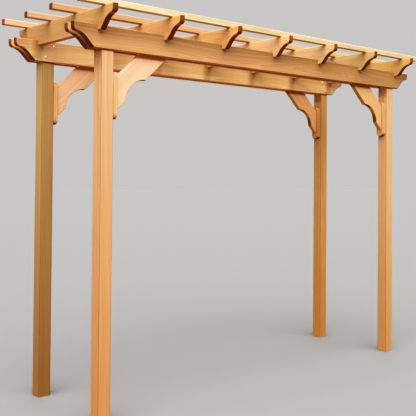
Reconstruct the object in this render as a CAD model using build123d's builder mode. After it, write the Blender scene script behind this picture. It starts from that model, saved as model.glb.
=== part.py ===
from build123d import *
import math
import os

os.makedirs("parts", exist_ok=True)

# Open cedar pergola in millimetres: X runs along it, Y from front to back, Z up,
# with the ground at Z = 0 under the middle of the frame

# Posts: square, with a tenon on top that stands between the two boards of a beam
post_size = 89
frame_length = 2920     # over the outer faces of the left and right posts
frame_depth = 846       # over the outer faces of the front and back posts
clear_height = 2275     # from the ground to the underside of the beams
tenon_thickness = 38

# Boards of the beams and rafters
board_thickness = 38
board_height = 141
edge_ease = 4           # bevel along the arrises of every timber
beam_overhang = 197     # from the outer face of a post to the tip of the beam

# Ogee tail: upright nose, round lip, hollow and belly, one pattern for beams and rafters
tail_length = 141
nose_height = 29
lip_radius = 25
lip_dip = 10            # degrees below level where the lip ends and the hollow starts
turn_inset = 28.5       # of where the hollow turns into the belly, past the middle of the tail
turn_drop = 29.5        # of that place, below the middle of the board's height

# Rafters: cut out underneath so that they sit down over both beams
rafter_count = 7
rafter_overhang = 174   # from the outer face of a beam to the tip of the rafter
notch_depth = 35
notch_play = 1          # at each side of the beam in its notch

# Slats laid flat across the rafters
slat_count = 4
slat_size = 41
slat_overhang = 167     # from the outer face of an end rafter to the end of the slat
slat_inset = 86         # from the tip of a rafter to the outer face of the outer slat

# Knee braces: each stands on a cleat on the post and ends between the beam's boards
cleat_thickness = 38
cleat_width = 70        # its ends are half circles of this width
cleat_length = 294
cleat_drop = 128        # from the underside of the beam to the top of the cleat
brace_thickness = 38
brace_width = 152
brace_angle = 43.5      # degrees above level
brace_drop = 368        # from the underside of the beam to the lowest point of the foot
brace_tuck = 80         # hidden height of the brace above the underside of the beam
scallop_start = 95      # along the lower edge of the brace, from its foot
scallop_chord = 205
scallop_depth = 42

# Places worked out from the sizes above
beam_width = 2 * board_thickness + tenon_thickness
post_x = (frame_length - post_size) / 2
post_y = (frame_depth - post_size) / 2
beam_length = frame_length + 2 * beam_overhang
beam_top = clear_height + board_height
rafter_bottom = beam_top - notch_depth
rafter_top = rafter_bottom + board_height
rafter_length = 2 * post_y + beam_width + 2 * rafter_overhang
rafter_pitch = (frame_length + board_thickness) / (rafter_count - 1)
rafter_start = -(frame_length / 2 + board_thickness)
slat_length = frame_length + 2 * board_thickness + 2 * slat_overhang
slat_reach = rafter_length / 2 - slat_inset - slat_size / 2
slat_pitch = 2 * slat_reach / (slat_count - 1)

rows = {"front": -1, "back": 1}
ends = {"left": -1, "right": 1}


def tailed_outline(length):
    """Outline of a board on edge, its lower edge on the X axis, with an ogee tail at each end."""
    tip = length / 2
    with BuildLine() as outline:
        nose = Line((tip, board_height), (tip, board_height - nose_height))
        lip = JernArc(nose @ 1, nose % 1, lip_radius, lip_dip - 90)
        turn = (tip - tail_length / 2 - turn_inset, board_height / 2 - turn_drop)
        hollow = TangentArc(lip @ 1, turn, tangent=lip % 1)
        belly = TangentArc(turn, (tip - tail_length, 0), tangent=hollow % 1)
        Line(belly @ 1, (0, 0))
        Line(nose @ 0, (0, board_height))
        mirror(about=Plane.YZ)
    return outline


# Posts
for row, depth_side in rows.items():
    for end, length_side in ends.items():
        foot = Plane(origin=(length_side * post_x, depth_side * post_y, 0))
        with BuildPart() as post:
            with BuildSketch(foot):
                Rectangle(post_size, post_size)
            extrude(amount=clear_height)
            chamfer(post.edges().filter_by(Axis.Z), length=edge_ease)
            with BuildSketch(foot.offset(clear_height)):
                Rectangle(post_size, tenon_thickness)
            extrude(amount=board_height)
        post.part.label = f"post_{row}_{end}"
        export_step(post.part, f"parts/{post.part.label}.step")

# Beams: an outer and an inner board on each row of posts, clasping the tenons
for row, depth_side in rows.items():
    for layer, face_side in {"outer": 1, "inner": -1}.items():
        middle = depth_side * (post_y + face_side * (tenon_thickness + board_thickness) / 2)
        with BuildPart() as beam:
            with BuildSketch(Plane(origin=(0, middle, clear_height), x_dir=(1, 0, 0), z_dir=(0, -1, 0))):
                make_face(tailed_outline(beam_length).edges())
            extrude(amount=board_thickness / 2, both=True)
            chamfer(beam.faces().filter_by(Axis.Y).edges(), length=edge_ease)
        beam.part.label = f"beam_{row}_{layer}"
        export_step(beam.part, f"parts/{beam.part.label}.step")

# Rafters
for number in range(rafter_count):
    side = rafter_start + number * rafter_pitch
    with BuildPart() as rafter:
        face = Plane(origin=(side, 0, rafter_bottom), x_dir=(0, 1, 0), z_dir=(1, 0, 0))
        with BuildSketch(face):
            make_face(tailed_outline(rafter_length).edges())
        extrude(amount=board_thickness)
        chamfer(rafter.faces().filter_by(Axis.X).edges(), length=edge_ease)
        with BuildSketch(face):
            with Locations((-post_y, 0), (post_y, 0)):
                Rectangle(beam_width + 2 * notch_play, 2 * notch_depth)
        extrude(amount=board_thickness, mode=Mode.SUBTRACT)
    rafter.part.label = f"rafter_{number + 1}"
    export_step(rafter.part, f"parts/{rafter.part.label}.step")

# Slats
for number in range(slat_count):
    middle = number * slat_pitch - slat_reach
    with BuildPart() as slat:
        with BuildSketch(Plane(origin=(0, middle, rafter_top))):
            Rectangle(slat_length, slat_size)
        extrude(amount=slat_size)
        chamfer(slat.edges().filter_by(Axis.X), length=edge_ease)
    slat.part.label = f"slat_{number + 1}"
    export_step(slat.part, f"parts/{slat.part.label}.step")

# Cleats and knee braces, drawn from the corner of post and beam towards the middle of the span
slope = Vector(math.cos(math.radians(brace_angle)), math.sin(math.radians(brace_angle)))
for row, depth_side in rows.items():
    for end, length_side in ends.items():
        corner = Plane(
            origin=(length_side * (post_x - post_size / 2), depth_side * post_y, clear_height),
            x_dir=(-length_side, 0, 0),
            z_dir=(0, length_side, 0),
        )
        inward = (-length_side, 0, 0)
        middle = corner.origin - (0, 0, cleat_drop + cleat_length / 2)
        with BuildPart() as cleat:
            with BuildSketch(Plane(origin=middle, x_dir=(0, 0, 1), z_dir=inward)):
                SlotOverall(cleat_length, cleat_width)
            extrude(amount=cleat_thickness)
            brace_side = cleat.faces().filter_by(Axis.X).sort_by(Axis(corner.origin, inward))[-1]
            chamfer(brace_side.edges(), length=edge_ease)
        cleat.part.label = f"cleat_{row}_{end}"
        export_step(cleat.part, f"parts/{cleat.part.label}.step")

        with BuildPart() as brace:
            with BuildSketch(corner):
                with BuildLine():
                    heel = Vector(cleat_thickness, -brace_drop)
                    back = heel + Vector(0, brace_width / slope.X)
                    first_cusp = heel + slope * scallop_start
                    second_cusp = first_cusp + slope * scallop_chord
                    toe = heel + slope * ((brace_drop + brace_tuck) / slope.Y)
                    head = back + slope * ((brace_tuck - back.Y) / slope.Y)
                    Line(heel, first_cusp)
                    SagittaArc(first_cusp, second_cusp, scallop_depth)
                    Polyline(second_cusp, toe, head, back, heel)
                make_face()
            extrude(amount=brace_thickness / 2, both=True)
            sawn_ends = brace.faces().filter_by(Axis.X) + brace.faces().filter_by(Axis.Z)
            chamfer(brace.faces().filter_by(Axis.Y).edges() - sawn_ends.edges(), length=edge_ease)
        brace.part.label = f"brace_{row}_{end}"
        export_step(brace.part, f"parts/{brace.part.label}.step")
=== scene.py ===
"""Cedar pergola: grain, eased arrises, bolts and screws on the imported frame, and a plain studio round it."""

import math
import random
from dataclasses import dataclass

import bmesh
import bpy
from bpy.props import FloatProperty, FloatVectorProperty, PointerProperty
from mathutils import Euler, Matrix, Vector


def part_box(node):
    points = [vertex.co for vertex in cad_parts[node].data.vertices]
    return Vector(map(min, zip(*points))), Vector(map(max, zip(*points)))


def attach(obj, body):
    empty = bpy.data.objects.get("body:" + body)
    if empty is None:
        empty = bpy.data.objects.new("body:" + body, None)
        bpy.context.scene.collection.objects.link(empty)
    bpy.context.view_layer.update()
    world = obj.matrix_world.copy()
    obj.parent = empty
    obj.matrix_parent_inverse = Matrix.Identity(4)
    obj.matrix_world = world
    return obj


bl_info = {
    "name": "Cedar pergola finish",
    "version": (1, 0, 0),
    "blender": (4, 5, 0),
    "location": "View3D > Sidebar > Pergola",
    "description": "Finishes the timbers of a cedar pergola and fits its bolts and screws",
    "category": "Object",
}

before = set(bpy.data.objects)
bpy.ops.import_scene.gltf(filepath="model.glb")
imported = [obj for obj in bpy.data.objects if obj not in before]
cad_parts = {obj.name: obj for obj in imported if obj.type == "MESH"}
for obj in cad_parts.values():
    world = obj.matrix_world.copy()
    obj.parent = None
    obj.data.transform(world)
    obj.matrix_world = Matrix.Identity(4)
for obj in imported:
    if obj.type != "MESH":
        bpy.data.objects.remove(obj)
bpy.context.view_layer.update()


def numbered(kind):
    """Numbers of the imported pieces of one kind, such as rafter_1 to rafter_7."""
    return range(1, 1 + sum(node.startswith(f"{kind}_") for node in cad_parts))


# Where the pieces of the frame stand, and on which side of its middle
ROWS = {"front": -1, "back": 1}
ENDS = {"left": -1, "right": 1}
CORNERS = [(row, end) for row in ROWS for end in ENDS]
RAFTERS = numbered("rafter")
SLATS = numbered("slat")

# Turns that bring the grain of each kind of timber onto the X axis
ALONG_X = (0.0, 0.0, 0.0)
ALONG_Y = (0.0, 0.0, -math.pi / 2)
ALONG_Z = (0.0, math.pi / 2, 0.0)
BRACE_ANGLE = math.radians(43.5)    # of the knee braces above level

# For each kind of timber, how strongly its grain shows, and the first seed of its cuts from the log
FIGURES = {"post": 0.7, "beam": 1.0, "rafter": 0.6, "slat": 1.0, "brace": 0.6, "cleat": 1.0}
FIRST_SEEDS = {"post": 100, "beam": 200, "rafter": 300, "slat": 400, "brace": 500, "cleat": 600}


@dataclass
class Board:
    """A packed board, and what is particular to its finish and to the light and shade painted on it."""

    node: str
    number: int             # among the boards of its kind
    turn: tuple = ALONG_X   # that brings its grain onto the X axis
    # Painted contact shadow under the beam, reaching higher on the inner face of a post above its cleat
    shade_band: float = 0.001  # height of the deeper wood close under the beam, where this is hardly any
    pocket: float = 0.0     # how much higher that is on the inner face of a post, above its cleat
    # Strength of the painted shadow of the beam's tail on the outer face of a post
    tail_shadow: float = 0.0   # how far the tail of the beam shelters the outer face of a post
    gap_side: int = 0       # way in Y from a board of a beam to the other board of its pair
    # Whether it takes the milder painted shade on its underside
    soffit_shade: bool = False    # whether much light reaches its underside
    rounded: float = 0.0    # how late a round end darkens as it turns level, and 0 for square ends

    @property
    def kind(self):
        """The kind of timber, such as post or rafter."""
        return self.node.split("_")[0]


@dataclass
class Gain:
    """How much of its shade a board gains from one side of it to the other, for each colour channel."""

    endwise: tuple = (0.0, 0.0, 0.0)    # from left to right, front to back or foot to top, along the board
    edgewise: tuple = (0.0, 0.0, 0.0)   # from the lower edge to the upper
    right_share: float = 1.0            # how much of the edgewise gain is left at the right end


# Shade of each board against the common cedar colour, for each colour channel
SHADES = {
    "post_front_left": (1.09, 0.99, 1.02),
    "post_front_right": (1.03, 1.00, 1.00),
    # The back posts are darker: partly their own tone, partly painted shade
    "post_back_left": (0.645, 0.62, 0.475),
    "post_back_right": (0.95, 0.84, 0.60),
    "beam_front_outer": (0.75, 0.65, 0.50),
    "beam_front_inner": (1.12, 1.05, 0.98),
    "beam_back_inner": (1.05, 1.05, 0.92),
    "beam_back_outer": (1.27, 1.30, 1.20),
    "rafter_1": (0.90, 0.78, 0.60),
    "rafter_2": (1.05, 0.91, 0.77),
    "rafter_3": (1.02, 0.89, 0.70),
    "rafter_4": (1.20, 1.12, 1.13),
    "rafter_5": (1.06, 1.09, 1.08),
    "rafter_6": (0.88, 0.90, 0.82),
    "rafter_7": (0.92, 0.86, 0.65),
    "slat_1": (1.17, 1.24, 1.34),
    "slat_2": (1.05, 0.96, 0.94),
    "slat_3": (0.95, 0.91, 0.99),
    "slat_4": (1.22, 1.11, 1.24),
    "brace_front_left": (1.50, 1.32, 1.54),
    "brace_back_left": (1.34, 1.30, 1.51),
    "brace_front_right": (1.12, 0.98, 0.87),
    "brace_back_right": (1.18, 1.05, 0.83),
    "cleat_front_left": (1.14, 1.13, 1.04),
    "cleat_back_left": (1.16, 0.98, 0.85),
    "cleat_front_right": (0.96, 0.87, 0.78),
    "cleat_back_right": (0.92, 0.78, 0.60),
}

# Painted shade under the rafters on the upper edges of the beams, and boards lighter or darker along them
GAINS = {
    "beam_front_outer": Gain((-0.26, -0.28, -0.50), (-0.50, -0.46, -0.78), right_share=0.1),
    "beam_front_inner": Gain(edgewise=(-0.20, -0.20, -0.30)),
    "beam_back_inner": Gain((-0.04, -0.07, -0.16), (-0.24, -0.34, -0.46)),
    "beam_back_outer": Gain(edgewise=(-0.30, -0.30, -0.40)),
    "slat_1": Gain((-0.20, -0.30, -0.40)),
    "slat_2": Gain((0.12, 0.30, 0.36)),
    "post_back_left": Gain((0.24, 0.30, 0.40)),
    **{f"rafter_{number}": Gain((-0.24, -0.28, -0.26)) for number in RAFTERS},
}

# Painted light on the outer face of a post, against its other faces
PAINTED_OUTER_LIGHT = {"post_back_left": (1.14, 1.22, 1.28)}

# Painted shade on the posts: the height of the contact shadow as a share of that on a brace, its reach on
# the inner face as a share of the way down to the cleat, and the strength of the painted shadow of the tails
# of the beams on the outer faces of each row
POST_SHADE_BAND = 1 / 3
POCKET_REACH = 1 / 2
TAIL_SHADOW_SHARES = {"front": 1.0, "back": 0.1}

# How late the round ends of the cleats darken at each end of the frame; sooner on the right as painted shade
CLEAT_TURNS = {"left": 3.0, "right": 1.2}


# Values that a user may change


class TimberSettings(bpy.types.PropertyGroup):
    """Cut and finish of the timbers, and the light and shade painted on them."""

    arris_round: FloatProperty(
        name="Arris rounding",
        description="Radius left by the sander on each arris",
        default=0.0016, min=0.0, max=0.004, unit="LENGTH", precision=4)
    ring_width: FloatProperty(
        name="Ring width",
        description="Distance from one growth ring to the next",
        default=0.0055, min=0.002, max=0.02, unit="LENGTH", precision=4)
    grain_depth: FloatProperty(
        name="Grain depth",
        description="Relief of the grain that the planer leaves",
        default=0.0004, min=0.0, max=0.002, unit="LENGTH", precision=5)
    # Painted contact shadow on a brace under the beam: its height
    contact_shade_height: FloatProperty(
        name="Shelter height",
        description="Height of the sheltered wood of a brace, which stands back under the beam",
        default=0.024, min=0.0, max=0.1, unit="LENGTH", precision=3)
    early_wood: FloatVectorProperty(
        name="Early wood",
        description="Pale wood between the rings, under the clear finish",
        default=(0.63, 0.394, 0.214), size=3, min=0.0, max=1.0, subtype="COLOR")
    late_wood: FloatVectorProperty(
        name="Late wood",
        description="Dark line of each growth ring",
        default=(0.480, 0.247, 0.099), size=3, min=0.0, max=1.0, subtype="COLOR")
    end_grain: FloatVectorProperty(
        name="End grain",
        description="Sawn ends, which drink the finish and turn dark",
        default=(0.200, 0.074, 0.014), size=3, min=0.0, max=1.0, subtype="COLOR")
    # Painted shade on the faces that look down, milder on the slats and braces
    underside_shade: FloatVectorProperty(
        name="Underside",
        description="How much deeper the faces are that never see the sun, for each colour channel",
        default=(0.92, 0.50, 0.12), size=3, min=0.0, max=2.0)
    soffit_shade: FloatVectorProperty(
        name="Soffit",
        description="The same for the slats and braces, which more light reaches from below",
        default=(0.76, 0.68, 0.28), size=3, min=0.0, max=2.0)
    arris: FloatVectorProperty(
        name="Arris",
        description="How much deeper the finish has dried on the upright arrises of the posts",
        default=(0.69, 0.59, 0.48), size=3, min=0.0, max=2.0)
    # Painted light at the top of the frame and painted shade near the ground, for each colour channel
    painted_top_light: FloatVectorProperty(
        name="Painted top light",
        description="How the finish has paled at the top of the frame, for each colour channel",
        default=(1.07, 1.16, 1.28), size=3, min=0.0, max=2.0)
    shaded: FloatVectorProperty(
        name="Shaded",
        description="How the finish has stayed darker near the ground, for each colour channel",
        default=(0.82, 0.76, 0.61), size=3, min=0.0, max=2.0)
    # Painted contact shadow close under a beam, for each colour channel
    sheltered: FloatVectorProperty(
        name="Painted contact shade",
        description="How much deeper the wood has stayed close under a beam, for each colour channel",
        default=(0.58, 0.34, 0.13), size=3, min=0.0, max=2.0)
    tail: FloatVectorProperty(
        name="Tail",
        description="How much deeper the tails of the beams are at their tips, for each colour channel",
        default=(0.80, 0.76, 0.74), size=3, min=0.0, max=2.0)
    # Painted shade in the gap, on the faces that two paired boards turn to each other
    between: FloatVectorProperty(
        name="Between",
        description="How much deeper the faces are that two paired boards turn to each other",
        default=(0.60, 0.40, 0.24), size=3, min=0.0, max=2.0)
    # Painted shadow of the beams' tails on the posts, for each colour channel
    tail_shadow: FloatVectorProperty(
        name="Tail shadow",
        description="How much deeper the posts are close under the tails of the beams",
        default=(0.70, 0.60, 0.40), size=3, min=0.0, max=2.0)
    # Painted shadows of the rafters on the inner side of a beam, for each colour channel
    streak: FloatVectorProperty(
        name="Rafter shadow",
        description="How much deeper the inner side of a beam is under each rafter",
        default=(0.62, 0.52, 0.40), size=3, min=0.0, max=2.0)


class FixingSettings(bpy.types.PropertyGroup):
    """Bolts through the beams and screws through the slats."""

    bolt_head: FloatProperty(
        name="Bolt head",
        description="Diameter of the domed bolt heads",
        default=0.0195, min=0.01, max=0.03, unit="LENGTH", precision=4)
    bolt_dome: FloatProperty(
        name="Dome height",
        description="How far a bolt head stands out of the board",
        default=0.0058, min=0.002, max=0.01, unit="LENGTH", precision=4)
    left_low: FloatVectorProperty(
        name="Left, lower",
        description="In from the outer face of the post, and up from the foot of the beam",
        default=(0.021, 0.031), size=2, unit="LENGTH", precision=4)
    left_high: FloatVectorProperty(
        name="Left, upper",
        description="In from the outer face of the post, and up from the foot of the beam",
        default=(0.079, 0.107), size=2, unit="LENGTH", precision=4)
    right_low: FloatVectorProperty(
        name="Right, lower",
        description="In from the outer face of the post, and up from the foot of the beam",
        default=(0.042, 0.031), size=2, unit="LENGTH", precision=4)
    right_high: FloatVectorProperty(
        name="Right, upper",
        description="In from the outer face of the post, and up from the foot of the beam",
        default=(0.079, 0.104), size=2, unit="LENGTH", precision=4)
    screw_head: FloatProperty(
        name="Screw head",
        description="Diameter of the countersunk screws in the slats",
        default=0.0085, min=0.004, max=0.012, unit="LENGTH", precision=4)
    brass: FloatVectorProperty(
        name="Bolt colour",
        description="Yellow zinc plating of the bolts and screws",
        default=(0.90, 0.79, 0.51), size=3, min=0.0, max=1.0, subtype="COLOR")
    worn: FloatVectorProperty(
        name="Dull colour",
        description="Spots where the plating has dulled",
        default=(0.78, 0.62, 0.36), size=3, min=0.0, max=1.0, subtype="COLOR")


class StudioSettings(bpy.types.PropertyGroup):
    """Floor, light and camera."""

    floor_colour: FloatVectorProperty(
        name="Floor",
        description="Colour of the plain floor",
        default=(0.249, 0.246, 0.243), size=3, min=0.0, max=1.0, subtype="COLOR")
    surround_colour: FloatVectorProperty(
        name="Surround colour",
        description="Colour of the plain pale surround",
        default=(1.0, 0.985, 0.965), size=3, min=0.0, max=1.0, subtype="COLOR")
    surround: FloatProperty(
        name="Surround",
        description="Brightness of the plain pale surround",
        default=0.575, min=0.0)
    ceiling: FloatProperty(
        name="Ceiling",
        description="Brightness of the surround high above",
        default=0.14, min=0.0)
    overhead: FloatProperty(
        name="Overhead light",
        description="Strength of the broad soft light from above",
        default=6.5, min=0.0)
    overhead_height: FloatProperty(
        name="Height of the light",
        description="Angle of the middle of the overhead light above level",
        default=math.radians(57), min=0.0, max=math.pi / 2, subtype="ANGLE")
    overhead_turn: FloatProperty(
        name="Turn of the light",
        description="Angle of the overhead light from the front towards the left end",
        default=math.radians(38), min=-math.pi, max=math.pi, subtype="ANGLE")
    fill: FloatProperty(
        name="Fill light",
        description="Strength of the low soft light behind the right end",
        default=1.5, min=0.0)
    fill_height: FloatProperty(
        name="Height of the fill",
        description="Angle of the middle of the fill light above level",
        default=math.radians(24), min=0.0, max=math.pi / 2, subtype="ANGLE")
    fill_turn: FloatProperty(
        name="Turn of the fill",
        description="Angle of the fill light from the back towards the right end",
        default=math.radians(43), min=-math.pi, max=math.pi, subtype="ANGLE")
    spread: FloatProperty(
        name="Spread of the lights",
        description="Angle that each light fills, as a cloudy sky does",
        default=math.radians(80), min=0.0, max=math.pi, subtype="ANGLE")
    lens: FloatProperty(
        name="Lens",
        description="Focal length of the camera on a 36 mm sensor",
        default=64.76, min=10.0, unit="CAMERA")


# Small helpers for node trees


def add(tree, kind, inputs=None, **settings):
    """A node with its settings and inputs. An input that is another node's socket is linked."""
    made = tree.nodes.new(kind)
    for name, value in settings.items():
        setattr(made, name, value)
    for key, value in (inputs or {}).items():
        if isinstance(value, bpy.types.NodeSocket):
            tree.links.new(value, made.inputs[key])
        else:
            made.inputs[key].default_value = value
    return made


def calc(tree, operation, first, second=0.0, third=0.0, clamp=False):
    """Result of a math node. MULTIPLY_ADD gives the first times the second, plus the third."""
    values = {0: first, 1: second, 2: third}
    return add(tree, "ShaderNodeMath", values, operation=operation, use_clamp=clamp).outputs[0]


def vary(tree, share, amount, base, clamp=False):
    """The base, moved down or up by a share from 0 to 1 over a range of the given amount."""
    return calc(tree, "MULTIPLY_ADD", calc(tree, "SUBTRACT", share, 0.5), amount, base, clamp)


def ease(tree, value, low, high, to_low=0.0, to_high=1.0):
    """Value carried smoothly from one range to another."""
    values = {0: value, 1: low, 2: high, 3: to_low, 4: to_high}
    return add(tree, "ShaderNodeMapRange", values, interpolation_type="SMOOTHSTEP").outputs[0]


def split(tree, vector):
    """The X, Y and Z of a vector."""
    return tuple(add(tree, "ShaderNodeSeparateXYZ", {0: vector}).outputs)


def times(tree, first, second):
    """Product of two vectors, each with its own X, Y and Z. One of them may be a single number's socket."""
    return add(tree, "ShaderNodeVectorMath", {0: first, 1: second}, operation="MULTIPLY").outputs[0]


def mapped(tree, vector, kind, **inputs):
    """Vector turned, scaled and moved."""
    return add(tree, "ShaderNodeMapping", {"Vector": vector, **inputs}, vector_type=kind).outputs[0]


def noise(tree, vector, stretch, detail=2.0, roughness=0.5):
    """Noise from 0 to 1 whose size along each axis is one over the stretch, in metres."""
    return add(tree, "ShaderNodeTexNoise", {
        "Vector": times(tree, vector, stretch), "Scale": 1.0, "Detail": detail, "Roughness": roughness,
    }).outputs["Fac"]


def line_noise(tree, value, stretch, detail):
    """Noise from 0 to 1 along one value."""
    along = calc(tree, "MULTIPLY", value, stretch)
    return add(tree, "ShaderNodeTexNoise", {"W": along, "Scale": 1.0, "Detail": detail},
               noise_dimensions="1D").outputs["Fac"]


def blend_colours(tree, share, first, second):
    """Two colours mixed by a share from 0 to 1."""
    return add(tree, "ShaderNodeMix", {"Factor": share, 6: first, 7: second}, data_type="RGBA").outputs[2]


def deepened(tree, colour, share, deeper):
    """Colour drawn towards its product with another, by a share from 0 to 1."""
    inputs = {"Factor": share, 4: colour, 5: times(tree, colour, deeper)}
    return add(tree, "ShaderNodeMix", inputs, data_type="VECTOR").outputs[1]


def opaque(colour):
    """Colour with an alpha of one."""
    return (*colour, 1.0)


def new_material(name):
    """A material whose node tree is still empty."""
    made = bpy.data.materials.new(name)
    made.use_nodes = True
    made.node_tree.nodes.clear()
    return made


def end_in_shader(tree, inputs):
    """The shader and the output that end a material's node tree."""
    surface = add(tree, "ShaderNodeBsdfPrincipled", inputs)
    add(tree, "ShaderNodeOutputMaterial", {"Surface": surface.outputs[0]})


# Grain of the cedar, on a board whose pith runs along X


# Lengths in metres. A stretch is how many patches of a noise fit in a metre along each axis
PITH_WANDER = 0.085                     # range over which the pith strays from its line
DRIFT_STRETCH = (0.75, 3.0, 3.0)        # of the pith's way to the side
SWAY_STRETCH = (1.1, 2.0, 5.0)          # of its way up and down
RIPPLE = 0.0035                         # range over which a ring wavers
RIPPLE_STRETCH = (5.0, 60.0, 60.0)
SPELL_STRETCH = 0.33                    # how many spells of wide or narrow years there are to a year
SPELL = 2.4                             # years over which such spells shift the rings
SEASON_POWER = 2.2                      # how late in the season the wood darkens
SEASON_END = 0.93                       # share of the season from which the dark line breaks off
BAND_STRETCH = 55.0
STREAK_STRETCH = (0.7, 70.0, 70.0)
FIBRE_STRETCH = (9.0, 620.0, 620.0)
CLOUD_STRETCH = (1.6, 9.0, 9.0)

# How much each mark darkens the wood, which is early wood at 0 and late wood at 1, and where in its noise
# a band or streak starts and is full
RING_WEIGHT = 0.42
BAND_WEIGHT = 0.34
BAND_RANGE = (0.38, 0.68)
STREAK_WEIGHT = 0.34
STREAK_RANGE = (0.42, 0.72)
FIBRE_WEIGHT = 0.5
CLOUD_WEIGHT = 0.3
MEAN_DARKNESS = 0.35                    # about which a board's figure weakens or strengthens the marks

# End grain, where a face looks along the board but not up, against its plain colour. Ends that look up
# are left pale as painted light
ENDWAYS = (0.10, 0.45)
NOT_UPWARD = (0.30, 0.05)
SAWN = 1.12
SAWN_RING = -0.40
SAWN_PORE = 0.7

# Painted light and shade: by height, on the faces that look down, and close under the beam
SHADED_HEIGHT = 0.2                     # above the ground
TOP_LIGHT_HEIGHT = 2.3
PALEST = (0.92, 0.90, 0.88)             # that a face becomes
# Painted shade on the faces that look down: how far up a face looks where it starts, and is darkest
DOWNWARD = (-0.10, -0.60)               # how far up a face looks where it is no deeper, and deepest
# Painted contact shadow: shares of its height where it is no darker, and darkest
CONTACT_SHADE_RANGE = (1.3, 0.8)              # shelter heights under the beam where it is no deeper, and deepest
BEAM_SEAT = 0.0005                      # least depth under the beam that counts as being under it

# Roughness of the planed wood, with what each mark adds, and the height that each adds to the fibres
PLANED_ROUGHNESS = 0.36
FIBRE_ROUGHNESS = 0.20
LATE_ROUGHNESS = 0.10
SAWN_ROUGHNESS = 0.18
RING_RELIEF = -0.45
STREAK_RELIEF = 0.35

GRAIN_INPUTS = {
    "Place": "NodeSocketVector",        # on the log, whose pith is the X axis
    "Side": "NodeSocketVector",         # way that the face looks, turned with the log
    "Height": "NodeSocketFloat",        # above the ground
    "Upward": "NodeSocketFloat",        # how far the face looks up
    "Shade": "NodeSocketVector",
    "Figure": "NodeSocketFloat",
    "Beam above": "NodeSocketFloat",    # height of the foot of the beams
    # Height and strength of the painted contact shadow under the beam
    "Shelter": "NodeSocketFloat",       # height of the deeper wood under it
    "Shelter share": "NodeSocketFloat",
    # Strength of the painted shade on the faces that look down
    "Below": "NodeSocketVector",        # how much deeper the underside is
}
GRAIN_OUTPUTS = {"Colour": "NodeSocketColor", "Roughness": "NodeSocketFloat", "Relief": "NodeSocketFloat"}


def growth_rings(tree, place, ring_width):
    """Darkness of the growth rings, from 0 to 1, and the distance from the pith, which wanders slowly."""
    _, across, upward = split(tree, place)
    across = vary(tree, noise(tree, place, DRIFT_STRETCH, 1.0), PITH_WANDER, across)
    upward = vary(tree, noise(tree, place, SWAY_STRETCH, 1.0), PITH_WANDER, upward)
    reach = calc(tree, "MULTIPLY_ADD", across, across, calc(tree, "MULTIPLY", upward, upward))
    reach = vary(tree, noise(tree, place, RIPPLE_STRETCH), RIPPLE, calc(tree, "SQRT", reach))

    # Wide and narrow years, each darkening slowly and ending sharply
    years = calc(tree, "DIVIDE", reach, ring_width)
    spell = line_noise(tree, years, SPELL_STRETCH, 1.0)
    season = calc(tree, "FRACT", calc(tree, "MULTIPLY_ADD", spell, SPELL, years))
    darkening = calc(tree, "POWER", season, SEASON_POWER)
    return calc(tree, "MULTIPLY", darkening, ease(tree, season, 1.0, SEASON_END)), reach


def darkness(tree, place, reach, ring, streak, fibre, figure):
    """How dark the wood is: its rings, bands of darker years, streaks and fibres along it, and clouds."""
    band = ease(tree, line_noise(tree, reach, BAND_STRETCH, 2.0), *BAND_RANGE)
    dark = calc(tree, "MULTIPLY", ring, RING_WEIGHT)
    dark = calc(tree, "MULTIPLY_ADD", band, BAND_WEIGHT, dark)
    dark = calc(tree, "MULTIPLY_ADD", ease(tree, streak, *STREAK_RANGE), STREAK_WEIGHT, dark)
    dark = vary(tree, fibre, FIBRE_WEIGHT, dark)
    dark = vary(tree, noise(tree, place, CLOUD_STRETCH), CLOUD_WEIGHT, dark, clamp=True)
    return calc(tree, "MULTIPLY_ADD", calc(tree, "SUBTRACT", dark, MEAN_DARKNESS), figure, MEAN_DARKNESS)


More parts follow.
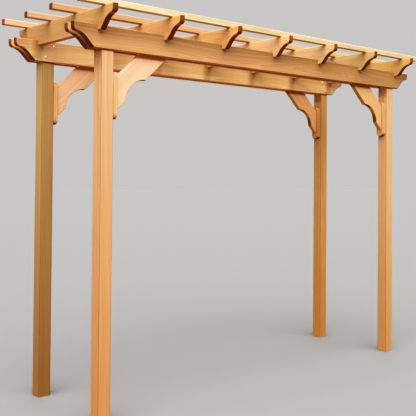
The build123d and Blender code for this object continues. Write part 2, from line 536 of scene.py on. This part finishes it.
def grain_group(timber):
    """Node group with the growth rings, fibres, end grain and painted light and shade of a cedar board."""
    tree = bpy.data.node_groups.new("Cedar grain", "ShaderNodeTree")
    for way, sockets in (("INPUT", GRAIN_INPUTS), ("OUTPUT", GRAIN_OUTPUTS)):
        for name, kind in sockets.items():
            tree.interface.new_socket(name, in_out=way, socket_type=kind)
    given = add(tree, "NodeGroupInput").outputs
    place, height = given["Place"], given["Height"]
    ring, reach = growth_rings(tree, place, timber.ring_width)
    streak = noise(tree, place, STREAK_STRETCH, 3.0, 0.6)
    fibre = noise(tree, place, FIBRE_STRETCH, 2.0, 0.6)
    dark = darkness(tree, place, reach, ring, streak, fibre, given["Figure"])

    # Painted light at the top of the frame, and painted shade near the ground
    face = blend_colours(tree, dark, opaque(timber.early_wood), opaque(timber.late_wood))
    sun = add(tree, "ShaderNodeMapRange", {
        "Vector": height, 7: (SHADED_HEIGHT,) * 3, 8: (TOP_LIGHT_HEIGHT,) * 3,
        9: timber.shaded, 10: timber.painted_top_light,
    }, data_type="FLOAT_VECTOR").outputs["Vector"]
    face = times(tree, times(tree, face, sun), given["Shade"])
    face = add(tree, "ShaderNodeVectorMath", {0: face, 1: PALEST}, operation="MINIMUM").outputs[0]

    # End grain: dark, with the rings as arcs and the fibres as pores; upward ends stay pale as painted light
    endways = ease(tree, calc(tree, "ABSOLUTE", split(tree, given["Side"])[0]), *ENDWAYS)
    end = calc(tree, "MULTIPLY", endways, ease(tree, given["Upward"], *NOT_UPWARD))
    pore = vary(tree, fibre, SAWN_PORE, calc(tree, "MULTIPLY_ADD", ring, SAWN_RING, SAWN))
    sawn = times(tree, times(tree, timber.end_grain, pore), given["Shade"])
    colour = blend_colours(tree, end, face, sawn)

    # Painted contact shadow close under the beam, and painted shade on the faces that look down
    below = calc(tree, "SUBTRACT", given["Beam above"], height)
    close = ease(tree, calc(tree, "DIVIDE", below, given["Shelter"]), *CONTACT_SHADE_RANGE)
    close = calc(tree, "MULTIPLY", close, calc(tree, "GREATER_THAN", below, BEAM_SEAT))
    close = calc(tree, "MULTIPLY", close, given["Shelter share"])
    colour = deepened(tree, colour, close, timber.sheltered)
    colour = deepened(tree, colour, ease(tree, given["Upward"], *DOWNWARD), given["Below"])

    rough = calc(tree, "MULTIPLY_ADD", fibre, FIBRE_ROUGHNESS, PLANED_ROUGHNESS)
    rough = calc(tree, "MULTIPLY_ADD", dark, LATE_ROUGHNESS, rough)
    rough = calc(tree, "MULTIPLY_ADD", end, SAWN_ROUGHNESS, rough, clamp=True)
    relief = calc(tree, "MULTIPLY_ADD", ring, RING_RELIEF, fibre)
    relief = calc(tree, "MULTIPLY_ADD", streak, STREAK_RELIEF, relief)
    add(tree, "NodeGroupOutput", {"Colour": colour, "Roughness": rough, "Relief": relief})
    return tree


# Material of each board


PITH_BESIDE = (0.075, 0.14)             # least and most that the pith lies beside the middle of a board
LOG_SLIDE = 20.0                        # most that a cut slides along the log, so that no two boards match
FACE_TURN = (0.3, 0.8)                  # how far a face looks one way where it starts and fully counts
ARRIS_TURN = (0.15, 0.42)               # the same for an upright arris, by the product of X and Y
GAIN_FADE = (0.02, 0.38)                # where an edgewise gain fades, on a board from -0.5 to 0.5
BUMP_STRENGTH = 0.5
WOOD_SPECULAR = 0.25

# Lengths from the tip of a beam, from its foot down, or from the middle of a painted shadow of a rafter: where
# the wood is no deeper, and deepest
TAIL_REACH = (0.17, 0.03)
GAP_REACH = (0.03, 0.13)
TAIL_SHADOW_REACH = (0.19, 0.02)
RAFTER_SHADOW_REACH = (0.062, 0.004)
# Painted shadows of the rafters on a beam: their shift, rise and strength at its foot
RAFTER_SHADOW_SHIFT = 0.020                    # of the streaks to the left of the rafters
RAFTER_SHADOW_RISE = (-0.5, 0.2)               # where they grow stronger, on a beam from -0.5 to 0.5
RAFTER_SHADOW_FOOT = 0.55                      # strength of the streaks at its foot
# Painted contact shadow on the inner face of a post above its cleat
POCKET_SHARE = 0.55                     # strength of the shelter on a post above its cleat


def looks(tree, facing, way):
    """How far a face looks the given way, 1 or -1, along one axis: from 0 to 1."""
    return ease(tree, calc(tree, "MULTIPLY", facing, way), *FACE_TURN)


def log_offset(board, middle):
    """Move that brings a turned board to a place of its own on the log."""
    chance = random.Random(FIRST_SEEDS[board.kind] + board.number)
    bearing = chance.uniform(0.0, 2.0 * math.pi)
    pith = Vector((chance.uniform(-LOG_SLIDE, LOG_SLIDE), math.cos(bearing), math.sin(bearing)))
    pith.yz = pith.yz * chance.uniform(*PITH_BESIDE)
    return pith - Euler(board.turn).to_matrix() @ middle


def own_shade(tree, board, spread, size):
    """Shade of a board, with what it gains from end to end and from edge to edge."""
    gain = GAINS.get(board.node, Gain())
    along = spread[list(size).index(max(size))]
    rise = calc(tree, "MULTIPLY", spread[2], ease(tree, along, *GAIN_FADE, 1.0, gain.right_share))
    shade = (1.0, 1.0, 1.0)
    for gained, share in ((gain.endwise, along), (gain.edgewise, rise)):
        inputs = {0: gained, 1: share, 2: shade}
        shade = add(tree, "ShaderNodeVectorMath", inputs, operation="MULTIPLY_ADD").outputs[0]
    return times(tree, shade, SHADES[board.node])


def beam_shade(tree, shade, board, x, facing, spread, length):
    """Beam: darker outside near its tips, painted shade between boards, painted rafter shadows inside."""
    timber = bpy.context.scene.pergola_timber
    outside = looks(tree, facing[1], -board.gap_side)
    tip = calc(tree, "SUBTRACT", 0.5, calc(tree, "ABSOLUTE", spread[0]))
    tip = calc(tree, "MULTIPLY", tip, length)
    tail = calc(tree, "MULTIPLY", outside, ease(tree, tip, *TAIL_REACH))
    shade = deepened(tree, shade, tail, timber.tail)
    # Painted shade in the gap between the paired boards, away from the tips
    between = calc(tree, "MULTIPLY", looks(tree, facing[1], board.gap_side), ease(tree, tip, *GAP_REACH))
    shade = deepened(tree, shade, between, timber.between)
    if board.node.endswith("outer"):
        return shade
    # Painted shadow of each rafter on the inner side of the beam
    first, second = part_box("rafter_1"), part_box("rafter_2")
    streak = calc(tree, "SUBTRACT", x, (first[0].x + first[1].x) / 2 - RAFTER_SHADOW_SHIFT)
    streak = calc(tree, "PINGPONG", streak, (second[0].x - first[0].x) / 2)
    streak = calc(tree, "MULTIPLY", outside, ease(tree, streak, *RAFTER_SHADOW_REACH))
    streak = calc(tree, "MULTIPLY", streak, ease(tree, spread[2], *RAFTER_SHADOW_RISE, RAFTER_SHADOW_FOOT, 1.0))
    return deepened(tree, shade, streak, timber.streak)


def post_shade(tree, shade, board, facing, outer, below):
    """Post: painted tail shadow outside, darker upright arrises, and painted light on some outer faces."""
    timber = bpy.context.scene.pergola_timber
    # Painted shadow of the beam's tail on the outer face, close under the beam
    tail_shadow = calc(tree, "MULTIPLY", outer, board.tail_shadow)
    tail_shadow = calc(tree, "MULTIPLY", tail_shadow, ease(tree, below, *TAIL_SHADOW_REACH))
    shade = deepened(tree, shade, tail_shadow, timber.tail_shadow)
    arris = calc(tree, "ABSOLUTE", calc(tree, "MULTIPLY", facing[0], facing[1]))
    shade = deepened(tree, shade, ease(tree, arris, *ARRIS_TURN), timber.arris)
    # Painted light on the outer face of this post
    if board.node in PAINTED_OUTER_LIGHT:
        shade = deepened(tree, shade, outer, PAINTED_OUTER_LIGHT[board.node])
    return shade


def timber_material(board):
    """Material of one board: its own cut from the log, its own shade, and its painted light and shade."""
    timber = bpy.context.scene.pergola_timber
    low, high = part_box(board.node)
    middle, size = (low + high) / 2, high - low
    beam_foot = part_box("beam_front_outer")[0].z
    made = new_material(f"cedar_{board.node}")
    tree = made.node_tree
    coordinates = add(tree, "ShaderNodeTexCoord").outputs
    point, normal = coordinates["Object"], coordinates["Normal"]
    x, _, height = split(tree, point)
    facing = split(tree, normal)
    upward = facing[2]
    place = mapped(tree, point, "POINT", Rotation=board.turn, Location=log_offset(board, middle))
    side = mapped(tree, normal, "VECTOR", Rotation=board.turn)
    if board.rounded:
        # A round end turns dark only where it has turned nearly level
        steep = calc(tree, "POWER", calc(tree, "ABSOLUTE", upward), board.rounded)
        side, upward = times(tree, side, steep), calc(tree, "MULTIPLY", upward, steep)

    # Place on the board, from -0.5 to 0.5 along each side of its box
    spread = split(tree, mapped(
        tree, point, "POINT", Scale=Vector(1.0 / extent for extent in size),
        Location=Vector(-centre / extent for centre, extent in zip(middle, size))))
    shade = own_shade(tree, board, spread, size)
    shade_band, shade_band_share = board.shade_band, 1.0
    if board.kind == "beam":
        shade = beam_shade(tree, shade, board, x, facing, spread, size.x)
    if board.kind == "post":
        outward = math.copysign(1.0, middle.x)
        below = calc(tree, "SUBTRACT", beam_foot, height)
        shade = post_shade(tree, shade, board, facing, looks(tree, facing[0], outward), below)
        # Painted contact shadow reaching further down the inner face of a post, above its cleat
        inner = looks(tree, facing[0], -outward)
        shade_band = calc(tree, "MULTIPLY_ADD", inner, board.pocket, board.shade_band)
        shade_band_share = calc(tree, "MULTIPLY_ADD", inner, POCKET_SHARE - 1.0, 1.0)

    grain = add(tree, "ShaderNodeGroup", {
        "Place": place, "Side": side, "Height": height, "Upward": upward, "Shade": shade,
        "Figure": FIGURES[board.kind], "Beam above": beam_foot, "Shelter": shade_band,
        "Shelter share": shade_band_share, "Below": timber.soffit_shade if board.soffit_shade else timber.underside_shade,
    }, node_tree=bpy.data.node_groups.get("Cedar grain") or grain_group(timber)).outputs
    bump = add(tree, "ShaderNodeBump", {
        "Strength": BUMP_STRENGTH, "Distance": timber.grain_depth, "Height": grain["Relief"]}).outputs[0]
    end_in_shader(tree, {"Base Color": grain["Colour"], "Roughness": grain["Roughness"], "Normal": bump,
                         "Specular IOR Level": WOOD_SPECULAR})
    return made


# Arrises of the boards


JOIN_DISTANCE = 0.00001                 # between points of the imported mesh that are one
CREASE_ANGLE = math.radians(30)         # least angle between faces that stays a sharp edge
ARRIS_ANGLE = math.radians(32)          # least angle between faces that the sander rounds
ARRIS_SEGMENTS = 2


def clean_edges_group():
    """Geometry nodes that join the facets of a packed board and shade only its curves smooth."""
    tree = bpy.data.node_groups.new("Joined facets", "GeometryNodeTree")
    for way in ("INPUT", "OUTPUT"):
        tree.interface.new_socket("Geometry", in_out=way, socket_type="NodeSocketGeometry")
    packed = add(tree, "NodeGroupInput").outputs[0]
    inputs = {"Geometry": packed, "Distance": JOIN_DISTANCE}
    joined = add(tree, "GeometryNodeMergeByDistance", inputs).outputs[0]
    inputs = {"Geometry": joined, "Name": "custom_normal"}
    bare = add(tree, "GeometryNodeRemoveAttribute", inputs).outputs[0]
    inputs = {"Geometry": bare, "Shade Smooth": True}
    smooth = add(tree, "GeometryNodeSetShadeSmooth", inputs, domain="FACE").outputs[0]
    angle = add(tree, "GeometryNodeInputMeshEdgeAngle").outputs["Unsigned Angle"]
    inputs = {0: angle, 1: CREASE_ANGLE}
    flat = add(tree, "FunctionNodeCompare", inputs, operation="LESS_EQUAL", data_type="FLOAT").outputs[0]
    inputs = {"Geometry": smooth, "Shade Smooth": flat}
    creased = add(tree, "GeometryNodeSetShadeSmooth", inputs, domain="EDGE").outputs[0]
    add(tree, "NodeGroupOutput", {0: creased})
    return tree


def finish_board(board):
    """Rounds the arrises of a packed board and gives it its cedar."""
    timber = bpy.context.scene.pergola_timber
    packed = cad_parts[board.node]
    joined = packed.modifiers.new("Joined facets", "NODES")
    joined.node_group = bpy.data.node_groups.get("Joined facets") or clean_edges_group()
    if timber.arris_round > 0:
        arris = packed.modifiers.new("Rounded arrises", "BEVEL")
        arris.width = timber.arris_round
        arris.segments = ARRIS_SEGMENTS
        arris.limit_method = "ANGLE"
        arris.angle_limit = ARRIS_ANGLE
        arris.harden_normals = True
    packed.material_slots[0].material = timber_material(board)


# Bolts and screws


BOLT_SINK = 0.001                       # how far a bolt head reaches into the board
BOLT_FOOT = 0.97                        # share of its radius at its foot
RIM_FOOT = 0.05                         # share of its dome's height where the rim is as wide as the head
RIM_TOP = 0.18                          # and where the rim ends and the dome starts
DOME_STEP = 15                          # degrees from one ring of the dome to the next
BOLT_SIDES = 32
SCREW_SIDES = 20

# Zinc plating, with a noise that dulls it in spots
SPOT_STRETCH = (260.0, 260.0, 260.0)
SPOT_RANGE = (0.42, 0.7)
ROUGH_RANGE = (0.3, 0.7)
ZINC_ROUGHNESS = (0.34, 0.52)           # at the two ends of that range

# Half outline of a screw head, from below and round its recess: share of its radius, height above the slat
SCREW_OUTLINE = (
    (0.0, -0.002), (0.7, -0.002), (1.0, -0.0004), (1.0, 0.0002), (0.86, 0.0005), (0.36, 0.0005),
    (0.30, 0.0001), (0.27, -0.0012), (0.0, -0.0014),
)


def turned(name, profile, sides, body="root"):
    """Solid turned about its own Z axis, from points of radius and height that start and end on the axis."""
    mesh = bmesh.new()
    rings = []
    for radius, height in profile:
        angles = [2 * math.pi * side / sides for side in range(sides if radius else 1)]
        places = [(radius * math.cos(angle), radius * math.sin(angle), height) for angle in angles]
        rings.append([mesh.verts.new(place) for place in places])
    for lower, upper in zip(rings, rings[1:]):
        for side in range(sides):
            corners = [lower[side % len(lower)], lower[(side + 1) % len(lower)],
                       upper[(side + 1) % len(upper)], upper[side % len(upper)]]
            corners = list(dict.fromkeys(corners))
            if len(corners) > 2:
                mesh.faces.new(corners)
    bmesh.ops.recalc_face_normals(mesh, faces=mesh.faces)
    for face in mesh.faces:
        face.smooth = True
    data = bpy.data.meshes.new(name)
    mesh.to_mesh(data)
    mesh.free()
    made = bpy.data.objects.new(name, data)
    bpy.context.scene.collection.objects.link(made)
    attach(made, body)
    return made


def plated_metal():
    """Yellow zinc plating, brushed by the driver and a little dull."""
    made = bpy.data.materials.get("yellow_zinc")
    if made:
        return made
    fixing = bpy.context.scene.pergola_fixing
    made = new_material("yellow_zinc")
    tree = made.node_tree
    spot = noise(tree, add(tree, "ShaderNodeTexCoord").outputs["Object"], SPOT_STRETCH, 3.0)
    colour = blend_colours(tree, ease(tree, spot, *SPOT_RANGE), opaque(fixing.brass), opaque(fixing.worn))
    rough = ease(tree, spot, *ROUGH_RANGE, *ZINC_ROUGHNESS)
    end_in_shader(tree, {"Base Color": colour, "Metallic": 1.0, "Roughness": rough})
    return made


# Floor, light and camera


FLOOR_REACH = 60.0                      # from the middle of the floor to its edges, out of sight
FLOOR_ROUGHNESS = 0.9
FLOOR_SPECULAR = 0.1
CEILING_RISE = (0.28, 0.50)             # sines of the heights between which the surround turns to ceiling

# Camera response, as pairs of light and what it shows as: firm shadows, and highlights that roll off
# instead of burning out
RESPONSE = (
    (0.0, 0.0), (0.06, 0.022), (0.15, 0.085), (0.30, 0.24),
    (0.60, 0.61), (0.90, 0.88), (1.3, 0.98), (2.4, 1.0),
)

# Camera at chest height, off the left front corner
CAMERA_PLACE = (-3.86659, -4.36962, 1.51903)
CAMERA_BEARING = math.radians(42.859)   # from the way to the back, towards the right end
CAMERA_PITCH = math.radians(1.073)      # above level
CAMERA_ROLL = math.radians(0.393)
CAMERA_SHIFT = (-0.1066, -0.1151)
SENSOR_WIDTH = 36.0                     # in millimetres
VIEW_END = 200.0


def lay_floor(studio):
    """The plain floor."""
    mesh = bpy.data.meshes.new("floor")
    corners = [(FLOOR_REACH * x, FLOOR_REACH * y, 0) for x, y in ((-1, -1), (1, -1), (1, 1), (-1, 1))]
    mesh.from_pydata(corners, [], [(0, 1, 2, 3)])
    floor = bpy.data.objects.new("floor", mesh)
    bpy.context.scene.collection.objects.link(floor)
    plain = new_material("plain_floor")
    end_in_shader(plain.node_tree, {
        "Base Color": opaque(studio.floor_colour), "Roughness": FLOOR_ROUGHNESS,
        "Specular IOR Level": FLOOR_SPECULAR})
    mesh.materials.append(plain)


def surround_world(studio):
    """The plain pale surround, darker high above."""
    world = bpy.data.worlds.new("studio")
    world.use_nodes = True
    tree = world.node_tree
    tree.nodes.clear()
    height = split(tree, add(tree, "ShaderNodeTexCoord").outputs["Generated"])[2]
    strength = ease(tree, height, *CEILING_RISE, studio.surround, studio.ceiling)
    inputs = {"Color": opaque(studio.surround_colour), "Strength": strength}
    surround = add(tree, "ShaderNodeBackground", inputs)
    add(tree, "ShaderNodeOutputWorld", {"Surface": surround.outputs[0]})
    return world


def set_response(settings):
    """Gives the scene the camera response."""
    brightest = RESPONSE[-1][0]
    settings.view_transform = "Standard"
    response = settings.curve_mapping
    response.use_clip = False
    response.extend = "HORIZONTAL"
    response.white_level = (brightest, brightest, brightest)
    curve = response.curves[3]
    for end in (0, -1):
        light, shown = RESPONSE[end]
        curve.points[end].location = light / brightest, shown
    for light, shown in RESPONSE[1:-1]:
        curve.points.new(light / brightest, shown)
    response.update()
    settings.use_curve_mapping = True


def hang_light(studio, name, side):
    """A broad soft light. Its turn is from the front to the left where side is -1, and from the back to the
    right where it is 1."""
    turn, height = getattr(studio, f"{name}_turn"), getattr(studio, f"{name}_height")
    cloud = bpy.data.lights.new(name, "SUN")
    cloud.energy = getattr(studio, name)
    cloud.angle = studio.spread
    lamp = bpy.data.objects.new(name, cloud)
    level = Vector((math.sin(turn), math.cos(turn), 0.0)) * side
    source = level * math.cos(height) + Vector((0.0, 0.0, math.sin(height)))
    lamp.rotation_euler = (-source).to_track_quat("-Z", "Y").to_euler()
    bpy.context.scene.collection.objects.link(lamp)


def stand_camera(studio):
    """The camera, which looks up slightly and along the frame."""
    view = bpy.data.cameras.new("camera")
    view.lens = studio.lens
    view.sensor_width = SENSOR_WIDTH
    view.shift_x, view.shift_y = CAMERA_SHIFT
    view.clip_end = VIEW_END
    camera = bpy.data.objects.new("camera", view)
    place = Matrix.Translation(CAMERA_PLACE)
    for angle, axis in ((-CAMERA_BEARING, "Z"), (math.pi / 2 + CAMERA_PITCH, "X"), (CAMERA_ROLL, "Z")):
        place = place @ Matrix.Rotation(angle, 4, axis)
    camera.matrix_world = place
    bpy.context.scene.collection.objects.link(camera)
    return camera


# Operators, one for each kind of piece


class PERGOLA_OT_posts(bpy.types.Operator):
    """Finish the four posts"""

    bl_idname = "pergola.posts"
    bl_label = "Posts"

    def execute(self, context):
        # Painted contact shadow on the posts, reaching down their inner faces to the cleats
        shade_band = context.scene.pergola_timber.contact_shade_height * POST_SHADE_BAND
        cleat_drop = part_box("beam_front_outer")[0].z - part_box("cleat_front_left")[1].z
        pocket = cleat_drop * POCKET_REACH
        for number, (row, end) in enumerate(CORNERS):
            finish_board(Board(f"post_{row}_{end}", number, ALONG_Z, shade_band=shade_band, pocket=pocket,
                               tail_shadow=TAIL_SHADOW_SHARES[row]))
        return {"FINISHED"}


class PERGOLA_OT_beams(bpy.types.Operator):
    """Finish the paired boards of the beams"""

    bl_idname = "pergola.beams"
    bl_label = "Beams"

    def execute(self, context):
        boards = [(row, layer) for row in ROWS for layer in ("outer", "inner")]
        for number, (row, layer) in enumerate(boards):
            gap_side = -ROWS[row] if layer == "outer" else ROWS[row]
            finish_board(Board(f"beam_{row}_{layer}", number, gap_side=gap_side))
        return {"FINISHED"}


class PERGOLA_OT_rafters(bpy.types.Operator):
    """Finish the notched rafters"""

    bl_idname = "pergola.rafters"
    bl_label = "Rafters"

    def execute(self, context):
        for number in RAFTERS:
            finish_board(Board(f"rafter_{number}", number, ALONG_Y))
        return {"FINISHED"}


class PERGOLA_OT_slats(bpy.types.Operator):
    """Finish the slats across the rafters"""

    bl_idname = "pergola.slats"
    bl_label = "Slats"

    def execute(self, context):
        for number in SLATS:
            finish_board(Board(f"slat_{number}", number, soffit_shade=True))
        return {"FINISHED"}


class PERGOLA_OT_braces(bpy.types.Operator):
    """Finish the knee braces and the cleats that they stand on"""

    bl_idname = "pergola.braces"
    bl_label = "Braces and cleats"

    def execute(self, context):
        # Painted contact shadow on the braces under the beams
        shade_band = context.scene.pergola_timber.contact_shade_height
        for number, (row, end) in enumerate(CORNERS):
            lean = BRACE_ANGLE if end == "left" else math.pi - BRACE_ANGLE
            finish_board(Board(f"brace_{row}_{end}", number, (0.0, lean, 0.0), shade_band=shade_band, soffit_shade=True))
            finish_board(Board(f"cleat_{row}_{end}", number, ALONG_Z, rounded=CLEAT_TURNS[end]))
        return {"FINISHED"}


class PERGOLA_OT_bolts(bpy.types.Operator):
    """Fit the domed bolts that hold the beams to the tenons of the posts"""

    bl_idname = "pergola.bolts"
    bl_label = "Bolts"

    def execute(self, context):
        fixing = context.scene.pergola_fixing
        radius, dome = fixing.bolt_head / 2, fixing.bolt_dome
        profile = [(0.0, -BOLT_SINK), (radius * BOLT_FOOT, -BOLT_SINK), (radius, dome * RIM_FOOT)]
        for degrees in range(0, 90, DOME_STEP):
            angle = math.radians(degrees)
            height = dome * (RIM_TOP + (1.0 - RIM_TOP) * math.sin(angle))
            profile.append((radius * math.cos(angle), height))
        profile.append((0.0, dome))
        for row, end in CORNERS:
            low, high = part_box(f"beam_{row}_inner")
            post_low, post_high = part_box(f"post_{row}_{end}")
            face = high.y if row == "front" else low.y
            outer = post_low.x if end == "left" else post_high.x
            lying = Matrix.Rotation(math.pi / 2 * ROWS[row], 4, "X")
            for level in ("low", "high"):
                inward, upward = getattr(fixing, f"{end}_{level}")
                place = Matrix.Translation((outer - ENDS[end] * inward, face, low.z + upward))
                bolt = turned(f"bolt_{row}_{end}_{level}", profile, BOLT_SIDES)
                bolt.data.transform(place @ lying)
                bolt.data.materials.append(plated_metal())
        return {"FINISHED"}


class PERGOLA_OT_screws(bpy.types.Operator):
    """Fit the countersunk screws that hold each slat to each rafter"""

    bl_idname = "pergola.screws"
    bl_label = "Screws"

    def execute(self, context):
        radius = context.scene.pergola_fixing.screw_head / 2
        profile = [(radius * share, height) for share, height in SCREW_OUTLINE]
        for slat in SLATS:
            slat_low, slat_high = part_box(f"slat_{slat}")
            for rafter in RAFTERS:
                rafter_low, rafter_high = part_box(f"rafter_{rafter}")
                x, y = (rafter_low.x + rafter_high.x) / 2, (slat_low.y + slat_high.y) / 2
                screw = turned(f"screw_{slat}_{rafter}", profile, SCREW_SIDES)
                screw.data.transform(Matrix.Translation((x, y, slat_high.z)))
                screw.data.materials.append(plated_metal())
        return {"FINISHED"}


class PERGOLA_OT_studio(bpy.types.Operator):
    """Set up the floor, the soft light and the camera"""

    bl_idname = "pergola.studio"
    bl_label = "Studio"

    def execute(self, context):
        studio = context.scene.pergola_studio
        lay_floor(studio)
        context.scene.world = surround_world(studio)
        set_response(context.scene.view_settings)
        hang_light(studio, "overhead", -1.0)
        hang_light(studio, "fill", 1.0)
        bpy.context.scene.camera = stand_camera(studio)
        return {"FINISHED"}


class PERGOLA_PT_panel(bpy.types.Panel):
    """Finishing steps of the pergola"""

    bl_idname = "PERGOLA_PT_panel"
    bl_label = "Pergola"
    bl_space_type = "VIEW_3D"
    bl_region_type = "UI"
    bl_category = "Pergola"

    def draw(self, context):
        for group in SETTINGS:
            settings = getattr(context.scene, group)
            box = self.layout.box()
            for name in settings.__annotations__:
                box.prop(settings, name)
        for step in STEPS:
            self.layout.operator(step.bl_idname)


STEPS = (PERGOLA_OT_posts, PERGOLA_OT_beams, PERGOLA_OT_rafters, PERGOLA_OT_slats, PERGOLA_OT_braces,
         PERGOLA_OT_bolts, PERGOLA_OT_screws, PERGOLA_OT_studio)
SETTINGS = {
    "pergola_timber": TimberSettings,
    "pergola_fixing": FixingSettings,
    "pergola_studio": StudioSettings,
}


def register():
    for kind in (*SETTINGS.values(), *STEPS, PERGOLA_PT_panel):
        bpy.utils.register_class(kind)
    for name, kind in SETTINGS.items():
        setattr(bpy.types.Scene, name, PointerProperty(type=kind))


def unregister():
    for name in SETTINGS:
        delattr(bpy.types.Scene, name)
    for kind in reversed((*SETTINGS.values(), *STEPS, PERGOLA_PT_panel)):
        bpy.utils.unregister_class(kind)


def main():
    """Runs every step in order."""
    register()
    for step in STEPS:
        group, name = step.bl_idname.split(".")
        getattr(getattr(bpy.ops, group), name)()


if __name__ == "__main__":
    main()
